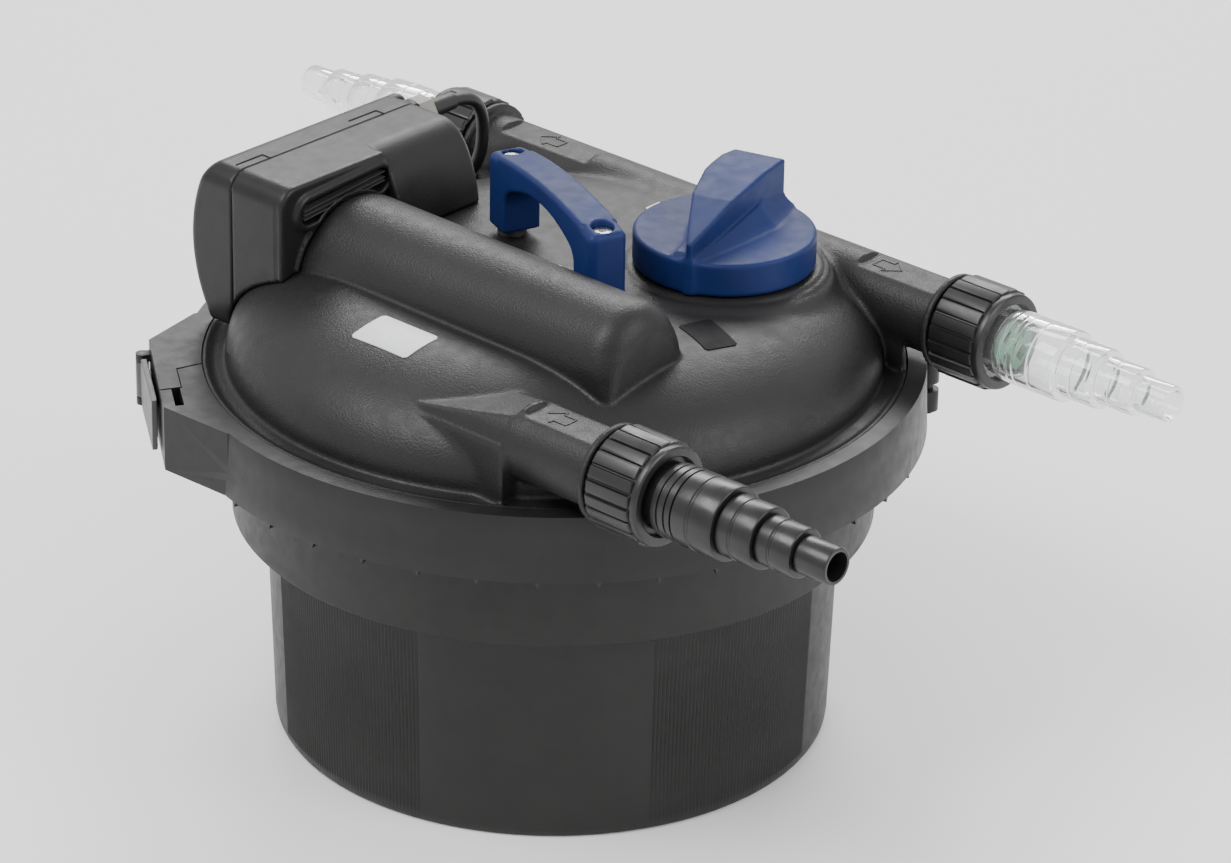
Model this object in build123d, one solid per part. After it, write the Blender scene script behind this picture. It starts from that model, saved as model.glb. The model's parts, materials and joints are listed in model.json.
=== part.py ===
from build123d import *
import math
import os

os.makedirs("parts", exist_ok=True)

# Frame: origin at the centre of the tank's base, +Z up, +X along the hose connections. Millimetres.

# Tank and lid
base_r = 145.0
tank_top_r = 149.0
collar_r = 166.0
collar_z = 120.0
wall = 3.0
flange_r = 185.0
flange_low_z = 176.0
flange_top_z = 184.0
lid_seat_z = 184.3
lid_flange_top_z = 199.0
rim_r = 180.0
rim_z = 203.3
dome_r = 168.0
dome_foot_z = 205.0
plateau_r = 100.0
plateau_z = 249.0
seal_r = 174.0
seal_wire_r = 3.0

# Clamp ring
ring_low_z = 168.5
ring_top_z = 203.5
ring_low_r = 191.4
ring_top_r = 190.0
ring_gap = 0.3
hinge_deg = 53.0
latch_deg = 233.0
pin_orbit_r = 197.5
knuckle_r = 5.5
hinge_pin_r = 2.5
pin_clearance = 0.05
split_gap = 1.2

# Water connections
pipe_r = 20.0
pipe_bore_r = 16.0
pipe_z = 230.5
outlet_y = 123.0
inlet_y = -124.5
outlet_face_x = 196.5
inlet_face_x = 190.0
inlet_start_x = 17.5
nut_length = 32.0
nut_r = 26.6
nut_bore_r = 23.4
nut_lip = 3.0
nut_hole_r = 19.9
thread_r = 23.0
tail_length = 103.5
step_radii = (19.0, 15.8, 12.6, 9.6)
step_ends = (41.0, 62.5, 84.0, tail_length)
neck_length = 16.0
neck_r = 16.5
tail_wall = 2.5
pad_half = 10.0
pad_height = 17.3

# Lamp tunnel on the lid
tunnel_near = (-49.5, 240.0, 37.0)
tunnel_far = (-58.0, 252.0, 29.5)
tunnel_end_x = 115.0
tunnel_floor_z = 215.0
tunnel_round = 9.0
lamp_y = -52.0
lamp_z = 262.5
sleeve_r = 11.0

# Lamp head
head_top_z = 291.0
head_low_z = 205.5
head_left_x = -157.0
head_bulge_x = -166.0
cap_seam_x = -135.0
box_face_x = -98.5
head_front_y = -98.0
box_back_y = -23.0
head_back_y = 36.5
shroud_top_x = -113.0
shroud_foot_x = -85.5
shell = 2.6

# Mode knob
knob_x = 58.5
knob_y = 62.5
knob_r = 46.8
knob_low_z = 252.2
knob_top_z = 270.0
pointer_deg = -71.0
wing_front_z = 280.0
wing_back_z = 296.0
boss_r = 50.5
boss_z = 251.6
spindle_r = 6.0
lid_screw_r = 1.6
plate_lift = 0.45

# Lifting handle
rod_orbit_r = 52.2
rod_deg = -21.4
rod_r = 4.0
leg_low_z = 254.0
handle_end_z = 292.0
handle_crown_z = 298.0
handle_width = 21.0
handle_depth = 12.0
leg_length = 20.0

# Filter pack
plate_low_z = 24.0
plate_thick = 5.0
pack_in_r = 62.0
pack_out_r = 134.0
foam_count = 4
foam_top_z = 168.0
core_r = 44.0

# Mains lead
cable_d = 7.0
gland_x = -140.0
gland_z = 280.5
boot_end_y = 69.0
coil_mean_r = 44.0
coil_half = 14.5
coil_x = -150.0
coil_y = 222.0
tangent_r = 54.5
plug_x = -105.0
plug_z = 18.5

# Latch
latch_pivot = (-40.0, 207.4)
latch_eye_r = 3.4
latch_pin_r = 1.5
nut_ribs = 24


def save(shape, node):
    export_step(shape, f"parts/{node}.step")


def turned(points):
    """Solid of revolution about Z from (radius, height) corners."""
    outline = Plane.XZ * Polyline(*points, close=True)
    return revolve(make_face(outline), Axis.Z, 360)


def turned_x(points, y, z):
    """Solid of revolution about a line along X from (station, radius) corners."""
    outline = Plane.XY * Polyline(*points, close=True)
    return Pos(0, y, z) * revolve(make_face(outline), Axis.X, 360)


def disc(x, y, z0, z1, radius):
    return Pos(x, y, (z0 + z1) / 2) * Cylinder(radius, z1 - z0)


def rod_x(x0, x1, y, z, radius):
    return Pos((x0 + x1) / 2, y, z) * Rot(0, 90, 0) * Cylinder(radius, abs(x1 - x0))


def rod_y(x, y0, y1, z, radius):
    return Pos(x, (y0 + y1) / 2, z) * Rot(90, 0, 0) * Cylinder(radius, abs(y1 - y0))


def block(x0, x1, y0, y1, z0, z1):
    return Pos((x0 + x1) / 2, (y0 + y1) / 2, (z0 + z1) / 2) * Box(x1 - x0, y1 - y0, z1 - z0)


def prism(points, z0, z1):
    """Upright prism over a plan outline."""
    return Pos(0, 0, z0) * extrude(make_face(Polyline(*points, close=True)), z1 - z0)


def polar(radius, degrees):
    return radius * math.cos(math.radians(degrees)), radius * math.sin(math.radians(degrees))


def rod_places():
    x, y = polar(rod_orbit_r, rod_deg)
    return (x, y), (-x, -y)


def at_latch(u, w):
    """Plan point from the distance u along the closing direction and w outwards."""
    out_x, out_y = polar(1, latch_deg)
    return -u * out_y + w * out_x, u * out_x + w * out_y


# Tank ------------------------------------------------------------------------------------------

def make_tank():
    groove_in = seal_r - seal_wire_r - 0.3
    groove_out = seal_r + seal_wire_r + 0.3
    groove_z = flange_top_z - 2 * seal_wire_r - 0.2
    return turned([
        (0, 0), (base_r - 5, 0), (base_r, 5), (tank_top_r, collar_z), (collar_r, collar_z),
        (collar_r, flange_low_z), (flange_r, flange_low_z), (flange_r, flange_top_z),
        (groove_out, flange_top_z), (groove_out, groove_z), (groove_in, groove_z),
        (groove_in, flange_top_z), (collar_r - wall, flange_top_z), (collar_r - wall, collar_z + wall),
        (tank_top_r - wall, collar_z + wall), (base_r - wall, wall + 1), (0, wall + 1)])


def make_lid_seal():
    wire_z = lid_seat_z - seal_wire_r - 0.2
    return Pos(0, 0, wire_z) * Torus(seal_r, seal_wire_r)


# Lid -------------------------------------------------------------------------------------------

def dome(radius, foot_z, flat_r, flat_z, floor_z):
    """Flat-topped dome whose shoulder is a quarter ellipse."""
    shoulder = EllipticalCenterArc((flat_r, foot_z), radius - flat_r, flat_z - foot_z, arc_size=90)
    outline = [Line((0, floor_z), (radius, floor_z)), Line((radius, floor_z), (radius, foot_z)),
               shoulder, Line((flat_r, flat_z), (0, flat_z)), Line((0, flat_z), (0, floor_z))]
    return revolve(make_face(Plane.XZ * Wire(outline)), Axis.Z, 360)


def tunnel(inset, x0, x1):
    """Lamp tunnel along X: a slightly conical top on upright walls that draw in towards its end."""
    near_y, near_z, near_r = tunnel_near
    far_y, far_z, far_r = tunnel_far
    axis = Vector(tunnel_end_x - box_face_x, far_y - near_y, far_z - near_z)
    top = Plane(origin=(box_face_x, near_y, near_z), z_dir=axis)
    arch = top * Cone(near_r - inset, far_r - inset, axis.length, align=(Align.CENTER, Align.CENTER, Align.MIN))
    plan = [(box_face_x, near_y - near_r + inset), (box_face_x, near_y + near_r - inset),
            (tunnel_end_x, far_y + far_r - inset), (tunnel_end_x, far_y - far_r + inset)]
    side = [(box_face_x, tunnel_floor_z), (tunnel_end_x, tunnel_floor_z), (tunnel_end_x, far_z), (box_face_x, near_z)]
    walls = prism(plan, tunnel_floor_z, far_z)
    walls &= Pos(0, -200, 0) * extrude(make_face(Plane.XZ * Polyline(*side, close=True)), 400, dir=(0, 1, 0))
    return (arch + walls) & block(x0, x1, -200, 200, tunnel_floor_z, 400)


def leg_room(clear):
    """Space that the handle's right leg needs beside the lamp tunnel."""
    x, y = rod_places()[0]
    reach = leg_length / 2 + 2 + clear
    return Pos(x, y, plateau_z + 25) * Rot(0, 0, rod_deg) * Box(2 * reach, handle_width + 2 * clear, 50)


def pipe_outside(x0, x1, y):
    return rod_x(x0, x1, y, pipe_z, pipe_r)


def spigot(side, face_x, y):
    """Threaded end of a pipe with the stop collar behind the nut; side is +1 or -1 along X."""
    back = face_x - nut_length
    thread = rod_x(side * (back + 1), side * (face_x - 12), y, pipe_z, thread_r)
    collar = rod_x(side * (back - 5.5), side * (back - 2), y, pipe_z, nut_r - 1.2)
    neck = rod_x(side * (back - 6), side * (back + 2), y, pipe_z, pipe_r + 0.6)
    return thread + collar + neck


def make_lid():
    skin = 3.5
    body = dome(dome_r, dome_foot_z, plateau_r, plateau_z, lid_seat_z)
    rim = turned([
        (dome_r - 8, lid_seat_z), (flange_r, lid_seat_z), (flange_r, lid_flange_top_z),
        (rim_r, lid_flange_top_z), (rim_r, rim_z), (rim_r - 1.5, rim_z), (rim_r - 5, rim_z - 2),
        (dome_r + 1, rim_z - 1), (dome_r - 8, dome_foot_z)])
    boss = disc(knob_x, knob_y, dome_foot_z, boss_z, boss_r)
    lamp_tunnel = tunnel(0, box_face_x + 0.5, tunnel_end_x)
    far_end = lamp_tunnel.faces().sort_by(Axis.X)[-1]
    lamp_tunnel = fillet(far_end.edges().filter_by(GeomType.LINE, reverse=True), tunnel_round)
    inlet = pipe_outside(inlet_start_x, inlet_face_x - nut_length, inlet_y)
    outlet = pipe_outside(-(outlet_face_x - nut_length), outlet_face_x - nut_length, outlet_y)
    outer = body + rim + boss + lamp_tunnel + inlet + outlet
    outer += spigot(1, inlet_face_x, inlet_y)
    outer += spigot(1, outlet_face_x, outlet_y)
    outer += spigot(-1, outlet_face_x, outlet_y)
    webs = block(79.5, 100, inlet_y - 21.5, inlet_y + 15, rim_z - 1.5, pipe_z)
    for x0, x1 in ((131, 146), (-146, -131)):
        webs += block(x0, x1, outlet_y - 20, outlet_y, rim_z - 1.5, pipe_z)
    outer += webs & disc(0, 0, rim_z - 1.5, pipe_z, rim_r - 1.5)
    outer -= leg_room(1.0)

    hollow = dome(dome_r - skin, dome_foot_z, plateau_r - skin, plateau_z - skin, lid_seat_z - 1)
    hollow += tunnel(skin, box_face_x + 0.5 + skin, tunnel_end_x - skin) - leg_room(1.0 + skin)
    hollow += rod_x(box_face_x - 1, box_face_x + 10, lamp_y, lamp_z, sleeve_r)
    hollow += disc(0, 0, plateau_z - 10, plateau_z + 1, lid_screw_r)
    hollow += disc(knob_x, knob_y, dome_foot_z - 15, boss_z - skin, boss_r - skin)
    hollow += rod_x(inlet_start_x + skin, inlet_face_x, inlet_y, pipe_z, pipe_bore_r)
    hollow += rod_x(-outlet_face_x, outlet_face_x, outlet_y, pipe_z, pipe_bore_r)
    for x, y in rod_places():
        hollow += disc(x, y, plateau_z - 10, plateau_z + 5, rod_r + 2.5)
    hollow += disc(knob_x, knob_y, boss_z - 10, boss_z + 5, spindle_r + 2.5)
    for x0, x1, y in ((104, 155, inlet_y), (104, 155, outlet_y), (-146, -84, outlet_y)):
        outer -= block(x0, x1, y - pad_half, y + pad_half, pipe_z + pad_height, pipe_z + pipe_r + 5)
    return outer - hollow


# Clamp ring ------------------------------------------------------------------------------------

def ring_blank():
    """Both halves in one: the rim with its C section, and the two closing blocks."""
    rim = turned([(160, ring_low_z), (ring_low_r, ring_low_z), (ring_top_r, ring_top_z), (160, ring_top_z)])
    corners = [at_latch(*p) for p in ((-76, 168), (-73, 177), (-44.5, 203.4), (36, 204.6), (71, 177), (74, 168))]
    rim += prism(corners, ring_low_z, ring_top_z)
    core = turned([
        (0, ring_low_z - 2), (collar_r + 1, ring_low_z - 2), (collar_r + 1, flange_low_z - ring_gap),
        (flange_r + ring_gap, flange_low_z - ring_gap), (flange_r + ring_gap, lid_flange_top_z + ring_gap),
        (rim_r + ring_gap, lid_flange_top_z + ring_gap), (rim_r + ring_gap, ring_top_z + 2),
        (0, ring_top_z + 2)])
    return rim - core


def rear_side(shift):
    """Plan prism over the rear half, with the stepped closing line moved by shift along u."""
    far = 400.0
    finger_w = 193.4 - shift / 3
    step = [(-12.5 + shift, 0), (-12.5 + shift, 180), (-8 + shift, finger_w), (14 + shift, finger_w),
            (19 + shift, 230), (19 + shift, far), (-far, far), (-far, -far), (shift, -far), (shift, 0)]
    return prism([at_latch(u, w) for u, w in step], ring_low_z - 30, ring_top_z + 10)


def hinge_knuckle(z0, z1, side):
    """Knuckle on the hinge pin with the arm that ties it to one half; side is +1 for the rear."""
    arm = Pos(0, 0, (z0 + z1) / 2) * Rot(0, 0, hinge_deg) * Pos(pin_orbit_r - 4.5, side * 3.4, 0)
    arm *= Box(9, 5, z1 - z0)
    return arm + disc(*polar(pin_orbit_r, hinge_deg), z0, z1, knuckle_r)


def make_ring_front(blank):
    half = blank - rear_side(split_gap)
    slot = prism([at_latch(*p) for p in ((15, 194.2), (35.5, 194.2), (35.5, 198.6), (15, 198.6))],
                 ring_low_z - 1, ring_top_z + 1)
    half -= slot
    half -= disc(*polar(pin_orbit_r, hinge_deg), 171.7, 192.3, knuckle_r + 0.4)
    web = Pos(0, 0, 165) * Rot(0, 0, hinge_deg) * Pos(pin_orbit_r - 6.4, -7.6, 0) * Box(6, 3.4, 20)
    half += hinge_knuckle(156, 167.6, -1) + hinge_knuckle(192.4, 202, -1) + web
    bore = disc(*polar(pin_orbit_r, hinge_deg), 150, 210, hinge_pin_r)
    return half - bore


def make_ring_rear(blank):
    half = blank & rear_side(0)
    half += hinge_knuckle(172, 192, 1)
    for z0, z1 in ((170, 174), (194.4, 198.4)):
        half += latch_ear(z0, z1)
    half -= disc(*polar(pin_orbit_r, hinge_deg), 150, 210, hinge_pin_r + pin_clearance)
    return half - disc(*at_latch(*latch_pivot), 165, 200, latch_pin_r)


def latch_ear(z0, z1):
    u, w = latch_pivot
    ear = disc(*at_latch(u, w), z0, z1, latch_eye_r)
    corners = [at_latch(*p) for p in ((u - 3, w - 8), (u + 3, w - 8), (u + 3, w), (u - 3, w))]
    return ear + prism(corners, z0, z1)


def make_hinge_pin():
    x, y = polar(pin_orbit_r, hinge_deg)
    return disc(x, y, 154, 203, hinge_pin_r) + disc(x, y, 203, 205, hinge_pin_r + 1.2)


def make_latch_lever():
    u, w = latch_pivot
    eye = disc(*at_latch(u, w), 174.4, 194, latch_eye_r)
    plate = prism([at_latch(*p) for p in ((u, w - 1.7), (14, w - 1.7), (17, w - 1.2), (17, w + 1.4), (u, w + 1.4))],
                  170.5, 198)
    room = prism([at_latch(*p) for p in ((u - 9, w - 6), (u + 6.5, w - 6), (u + 6.5, w + 6), (u - 9, w + 6))], 165, 174.4)
    plate -= room + Pos(0, 0, 29) * room
    return eye + plate - disc(*at_latch(u, w), 165, 200, latch_pin_r + pin_clearance)


def make_latch_pin():
    return disc(*at_latch(*latch_pivot), 170, 198.4, latch_pin_r)


# Unions and hose tails -------------------------------------------------------------------------

def make_union_nut(side, face_x, y):
    back = face_x - nut_length
    ring = turned_x([(back, thread_r + 0.3), (back, nut_r - 0.8), (back + 2, nut_r - 0.2), (face_x - 3, nut_r - 0.2),
                     (face_x, nut_r - 1.6), (face_x, nut_hole_r), (face_x - nut_lip, nut_hole_r),
                     (face_x - nut_lip, thread_r + 0.3)], 0, 0)
    rib = Pos(back + nut_length / 2 - 1, 0, nut_r - 0.6) * Box(nut_length - 7, 2.2, 1.2)
    for turn in range(nut_ribs):
        ring += Rot(turn * 360 / nut_ribs, 0, 0) * rib
    if side < 0:
        ring = mirror(ring, Plane.YZ)
    return Pos(0, y, pipe_z) * ring


def make_tail(side, face_x, y):
    """Collar, neck and four hose steps in one hollow turning."""
    seat = face_x - nut_lip - 0.3
    outside = [(seat - 4, nut_bore_r - 0.7), (seat, nut_bore_r - 0.7), (seat, neck_r), (face_x + neck_length, neck_r)]
    start = neck_length
    for radius, end in zip(step_radii, step_ends):
        outside += [(face_x + start, radius), (face_x + end - 2, radius), (face_x + end, radius - 1.2)]
        start = end
    inside = []
    start = neck_length
    for radius, end in zip(step_radii, step_ends):
        inside += [(face_x + start + 1, radius - tail_wall), (face_x + end + 1, radius - tail_wall - 0.6)]
        start = end
    inside[-1] = (face_x + tail_length, step_radii[-1] - tail_wall - 0.3)
    inside[0] = (face_x + neck_length + 1, neck_r - tail_wall)
    inside.insert(0, (seat - 4, neck_r - tail_wall))
    tail = turned_x(outside + inside[::-1], 0, 0)
    if side < 0:
        tail = mirror(tail, Plane.YZ)
    return Pos(0, y, pipe_z) * tail


def make_washer(side, face_x, y):
    x1 = side * (face_x - nut_lip - 4.6)
    x0 = side * (face_x - 11.7)
    return rod_x(x0, x1, y, pipe_z, 21) - rod_x(x0, x1, y, pipe_z, 14.5)


def make_outlet_insert():
    """Green throttle disc with four slots, clipped in the neck of the outlet's tail."""
    x0 = outlet_face_x + 1
    plate = rod_x(x0, x0 + 3, outlet_y, pipe_z, neck_r - tail_wall)
    for quarter in range(4):
        slot = Pos(x0 + 1.5, outlet_y, pipe_z) * Rot(quarter * 90 + 45, 0, 0) * Pos(0, 0, 8.5) * Box(5, 7, 6)
        plate -= slot
    return plate


# Filter pack and handle ------------------------------------------------------------------------

def make_lift_handle():
    """Arch over two legs, in the plane of the two rods."""
    half = rod_orbit_r + 8.5
    inner = rod_orbit_r - leg_length / 2 - 2
    rise = ThreePointArc((-half, handle_end_z), (0, handle_crown_z), (half, handle_end_z))
    side = [rise, Line((half, handle_end_z), (half, leg_low_z)), Line((half, leg_low_z), (inner, leg_low_z)),
            Line((inner, leg_low_z), (inner, handle_end_z - 28)),
            ThreePointArc((inner, handle_end_z - 28), (0, handle_crown_z - handle_depth),
                          (-inner, handle_end_z - 28)),
            Line((-inner, handle_end_z - 28), (-inner, leg_low_z)), Line((-inner, leg_low_z), (-half, leg_low_z)),
            Line((-half, leg_low_z), (-half, handle_end_z))]
    arch = extrude(make_face(Plane.XZ * Wire(side)), handle_width / 2, both=True)
    arch = fillet(arch.edges().filter_by(Axis.Z).group_by(Axis.X)[0], 5)
    arch = fillet(arch.edges().filter_by(Axis.Z).group_by(Axis.X)[-1], 5)
    for x in (-rod_orbit_r, rod_orbit_r):
        arch -= disc(x, 0, handle_end_z - 4, handle_crown_z + 5, 5.8)
        arch -= disc(x, 0, leg_low_z + 10, handle_end_z - 3, 2.2)
        arch -= disc(x, 0, leg_low_z - 1, leg_low_z + 14, rod_r)
    return Rot(0, 0, rod_deg) * arch


def make_handle_screws():
    screws = []
    for x, y in rod_places():
        head_z = handle_end_z - 4
        screw = disc(x, y, head_z, head_z + 3, 5) + disc(x, y, leg_low_z + 14, head_z, 2.2)
        screw -= disc(x, y, head_z + 1.4, head_z + 4, 1.8)
        screws.append(screw)
    return Compound(screws)


def make_rods():
    rods = [disc(x, y, plate_low_z + plate_thick, leg_low_z + 14, rod_r) for x, y in rod_places()]
    return Compound(rods)


def make_guide_bushes():
    bushes = []
    for x, y in rod_places():
        bush = disc(x, y, plateau_z - 5, plateau_z, rod_r + 2.5) + disc(x, y, plateau_z, plateau_z + 3.4, 7.6)
        bushes.append(bush - disc(x, y, plateau_z - 6, plateau_z + 4, rod_r + pin_clearance))
    return Compound(bushes)


def pack_plate(z0, thick, hole_r):
    plate = disc(0, 0, z0, z0 + thick, pack_out_r + 2) - disc(0, 0, z0 - 1, z0 + thick + 1, hole_r)
    openings = 12
    for turn in range(openings):
        spoke = Rot(0, 0, turn * 360 / openings + 15) * Pos((pack_in_r + pack_out_r) / 2, 0, z0 + thick / 2)
        plate -= spoke * Box(pack_out_r - pack_in_r - 16, 13, thick + 2)
    return plate


def make_press_plate():
    plate = pack_plate(plate_low_z, plate_thick, core_r + 3)
    for x, y in rod_places():
        plate -= disc(x, y, plate_low_z - 1, plate_low_z + plate_thick + 1, 2.5)
    return plate


def make_rod_bolts():
    bolts = []
    for x, y in rod_places():
        top = plate_low_z + plate_thick
        bolts.append(disc(x, y, plate_low_z - 3.5, plate_low_z, 5) + disc(x, y, plate_low_z, top, 2.5))
    return Compound(bolts)


def make_top_plate():
    plate = pack_plate(foam_top_z, 4, core_r + 0.2)
    for x, y in rod_places():
        plate -= disc(x, y, foam_top_z - 1, foam_top_z + 5, rod_r + 1)
    return plate


def make_foam(index):
    low = plate_low_z + plate_thick + 0.2
    pitch = (foam_top_z - 0.2 - low) / foam_count
    z0 = low + index * pitch
    z1 = z0 + pitch - 0.2
    return disc(0, 0, z0, z1, pack_out_r) - disc(0, 0, z0 - 1, z1 + 1, pack_in_r)


def make_core_tube():
    low = plate_low_z - 14
    top = foam_top_z + 4
    inner = core_r - 2.5
    tube = turned([(inner, low), (core_r, low), (core_r, top + 0.2), (core_r + 3, top + 0.2),
                   (core_r + 3, top + 4), (inner, top + 4)])
    for level in range(5):
        slot_z = 45 + level * 27
        for turn in range(4):
            tube -= Pos(0, 0, slot_z) * Rot(0, 0, turn * 45 + 22.5) * Box(2 * core_r + 4, 9, 16)
    return tube


# Lamp unit -------------------------------------------------------------------------------------

def head_side(inset):
    """Outline of the lamp head seen along +Y, from the bulging end cap to the box face."""
    top = head_top_z - inset
    low = head_low_z + inset
    left = head_left_x + inset
    bulge = ThreePointArc((left, low + 6), (head_bulge_x + inset, 246), (left, top - 5))
    corner = ThreePointArc((left, top - 5), (left + 1.5, top - 1.5), (left + 5, top))
    return bulge, corner, left, low, top


def head_solid(inset, x_limit, front_y, back_y):
    bulge, corner, left, low, top = head_side(inset)
    outline = [bulge, corner, Line((left + 5, top), (x_limit, top)), Line((x_limit, top), (x_limit, low)),
               Line((x_limit, low), (left, low)), Line((left, low), (left, low + 6))]
    face = make_face(Plane.XZ * Wire(outline))
    return Pos(0, front_y, 0) * extrude(face, back_y - front_y, dir=(0, 1, 0))


def shroud_solid(inset, front_y, back_y):
    """Quarter-round back cover over the lamp's ballast."""
    rise = head_top_z - inset - (plateau_z - 10)
    reach = shroud_foot_x - shroud_top_x - inset
    curve = EllipticalCenterArc((shroud_top_x, plateau_z - 10), reach, rise, arc_size=90)
    outline = [curve, Line((shroud_top_x, head_top_z - inset), (shroud_top_x - 40, head_top_z - inset)),
               Line((shroud_top_x - 40, head_top_z - inset), (shroud_top_x - 40, head_low_z + inset)),
               Line((shroud_top_x - 40, head_low_z + inset), (shroud_top_x + reach, head_low_z + inset)),
               Line((shroud_top_x + reach, head_low_z + inset), (shroud_top_x + reach, plateau_z - 10))]
    face = make_face(Plane.XZ * Wire(outline))
    return Pos(0, front_y, 0) * extrude(face, back_y - front_y, dir=(0, 1, 0))


def lid_footprint():
    """Everything under the lid's outside that the head must clear, a little larger than the lid."""
    clear = 0.3
    body = dome(dome_r + clear, dome_foot_z, plateau_r + clear, plateau_z + clear, head_low_z - 10)
    return body + tunnel(-clear, box_face_x + 0.2, shroud_foot_x + 20)


def make_head_parts():
    front = head_solid(0, box_face_x, head_front_y, box_back_y)
    rear = head_solid(0, shroud_top_x - 20, box_back_y - 5, head_back_y) + shroud_solid(0, box_back_y, head_back_y)
    outside = front + rear
    boss = rod_y(gland_x, head_back_y - 3, head_back_y + 3, gland_z, 9)
    hollow = head_solid(shell, box_face_x - shell, head_front_y + shell, box_back_y - shell)
    hollow += head_solid(shell, shroud_top_x - 20, box_back_y - 10, head_back_y - shell)
    hollow += shroud_solid(shell, box_back_y + shell, head_back_y - shell)
    hollow -= dome(dome_r + shell, dome_foot_z, plateau_r + shell, plateau_z + shell, head_low_z - 10)
    lamp_way = rod_x(box_face_x - 6, box_face_x + 2, lamp_y, lamp_z, sleeve_r + 2.5)
    skin = outside - lid_footprint() + boss - hollow - lamp_way
    skin -= rod_y(gland_x, head_back_y - 8, head_back_y + 5, gland_z, 5)
    slot = rod_x(box_face_x - 5, box_face_x + 1, box_back_y - 12, 273, 5.5)
    slot += rod_x(box_face_x - 5, box_face_x + 1, head_front_y + 17, 273, 5.5)
    slot += block(box_face_x - 5, box_face_x + 1, head_front_y + 17, box_back_y - 12, 267.5, 278.5)
    slot &= block(box_face_x - 2, box_face_x + 2, head_front_y, box_back_y, 260, 285)
    skin -= slot
    seam = 0.1
    cap = skin & block(-200, cap_seam_x - seam, -200, 200, 0, 400)
    housing = skin & block(cap_seam_x + seam, 0, -200, 200, 0, 400)
    return housing, cap


def make_quartz_sleeve():
    """Glass tube closed at its far end, with the lamp inside."""
    end_x = tunnel_end_x - 14
    outer = rod_x(box_face_x - 2, end_x, lamp_y, lamp_z, sleeve_r)
    return outer - rod_x(box_face_x - 3, end_x - 2, lamp_y, lamp_z, sleeve_r - 1.3)


def make_sleeve_flange():
    flange = rod_x(box_face_x - 6, box_face_x + 0.4, lamp_y, lamp_z, sleeve_r + 2.5)
    return flange - rod_x(box_face_x - 7, box_face_x + 1, lamp_y, lamp_z, sleeve_r)


def make_uv_lamp():
    end_x = tunnel_end_x - 26
    tubes = rod_x(box_face_x - 8, end_x, lamp_y - 4.4, lamp_z, 3.6)
    tubes += rod_x(box_face_x - 8, end_x, lamp_y + 4.4, lamp_z, 3.6)
    return tubes + block(end_x - 7, end_x - 2, lamp_y - 4.4, lamp_y + 4.4, lamp_z - 1.8, lamp_z + 1.8)


def make_lamp_socket():
    return rod_x(box_face_x - 26, box_face_x - 8, lamp_y, lamp_z, sleeve_r - 1.4)


def make_ballast():
    return block(-150, -118, -14, 26, 254, 282)


# Cable entry, lead, coil and plug --------------------------------------------------------------

def make_cable_gland():
    gland = rod_y(gland_x, head_back_y - 7.5, head_back_y + 8, gland_z, 5)
    return gland - rod_y(gland_x, head_back_y - 9, head_back_y + 9, gland_z, cable_d / 2)


def make_gland_nut():
    hexagon = Pos(gland_x, head_back_y + 8, gland_z) * Rot(90, 0, 0) * RegularPolygon(9.4, 6)
    nut = extrude(hexagon, 5, both=True)
    return nut - rod_y(gland_x, head_back_y, head_back_y + 20, gland_z, 5)


def make_cable_boot():
    y0 = head_back_y + 13
    boot = Pos(gland_x, (y0 + boot_end_y) / 2, gland_z) * Rot(-90, 0, 0) * Cone(5.4, 4.6, boot_end_y - y0)
    return boot - rod_y(gland_x, y0 - 1, boot_end_y + 1, gland_z, cable_d / 2)


def make_blanking_plug():
    stem = rod_y(gland_x - 15, head_back_y + 0.1, head_back_y + 6, gland_z + 2, 5.5)
    return stem + Pos(gland_x - 15, head_back_y + 6, gland_z + 2) * Sphere(5)


lead_route = [
    (-140, 69, 280.5), (-140, 78, 279.6), (-140, 86.5, 275.5), (-140.2, 92, 267.5), (-140.5, 93.5, 257),
    (-141.5, 93.3, 243.5), (-147.8, 92.5, 230), (-158.6, 91.5, 219.5), (-172.4, 90.2, 213.3),
    (-190, 89.2, 212.5), (-205, 88.8, 206), (-216, 89.2, 194.5), (-222, 90.7, 179), (-224.5, 95, 157),
    (-224.8, 102.5, 128), (-223, 111.5, 98), (-219.8, 122, 69), (-215.8, 134.5, 42), (-211.5, 149.5, 20.5),
    (-208, 166, 8), (-205.9, 182, 4), (-205, 195, 3.7), (-204.5, 205, 3.6)]


def corner_radii(points):
    radii = []
    for before, here, after in zip(points, points[1:], points[2:]):
        first = Vector(*here) - Vector(*before)
        second = Vector(*after) - Vector(*here)
        shorter = min(first.length, second.length)
        half_turn = math.radians(first.get_angle(second)) / 2
        radii.append(0.45 * shorter / math.tan(half_turn))
    return radii


def make_power_cable():
    radii = corner_radii(lead_route)
    path = FilletPolyline(*lead_route, radius=radii)
    start = Plane(origin=path @ 0, z_dir=path % 0)
    tube = sweep(start * Circle(cable_d / 2), path)
    print("lead radii", [round(r, 1) for r in radii])
    print("lead length", round(path.length, 1), "volume ratio",
          round(tube.volume / (math.pi * cable_d ** 2 / 4 * path.length), 4), "lowest", round(tube.bounding_box().min.Z, 2))
    return tube


def make_cable_coil():
    inner = coil_mean_r - coil_half
    outer = coil_mean_r + coil_half
    ring = turned([(inner, 2), (inner + 2, 0), (outer - 2, 0), (outer, 2), (outer, 2 * coil_half - 3),
                   (outer - 3, 2 * coil_half), (inner + 3, 2 * coil_half), (inner, 2 * coil_half - 3)])
    return Pos(coil_x, coil_y, 0) * ring


def make_power_cable_end():
    """Last stretch of the lead, from the coil's outer turn to the plug."""
    return rod_x(plug_x - 26, plug_x, coil_y + tangent_r, plug_z, cable_d / 2)


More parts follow.
